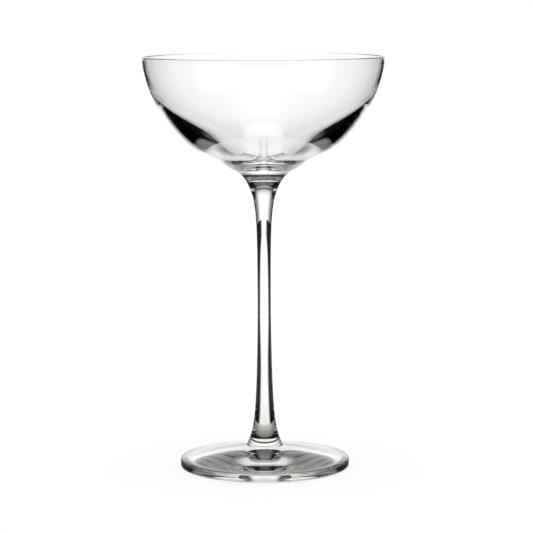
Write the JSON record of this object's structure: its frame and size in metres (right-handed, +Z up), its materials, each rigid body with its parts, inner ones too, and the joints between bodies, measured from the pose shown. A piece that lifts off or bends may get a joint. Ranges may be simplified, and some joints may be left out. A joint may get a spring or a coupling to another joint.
{
  "type": "coupe glass",
  "caption": "Stemmed coupe glass with a wide shallow bowl, a slender waisted stem and a round foot, in clear glass.",
  "frame": {"origin": "on the glass's axis, in the plane of the ring that the foot stands on", "axes": "+Z up along the axis of the stem, from the foot to the rim; the glass is round, so X and Y are free"},
  "size_m": [0.096, 0.096, 0.164],
  "materials": {
    "clear_glass": "clear, fire polished"
  },
  "bodies": {
    "root": {"bowl": "clear_glass", "stem": "clear_glass", "foot": "clear_glass"}
  },
  "joints": []
}
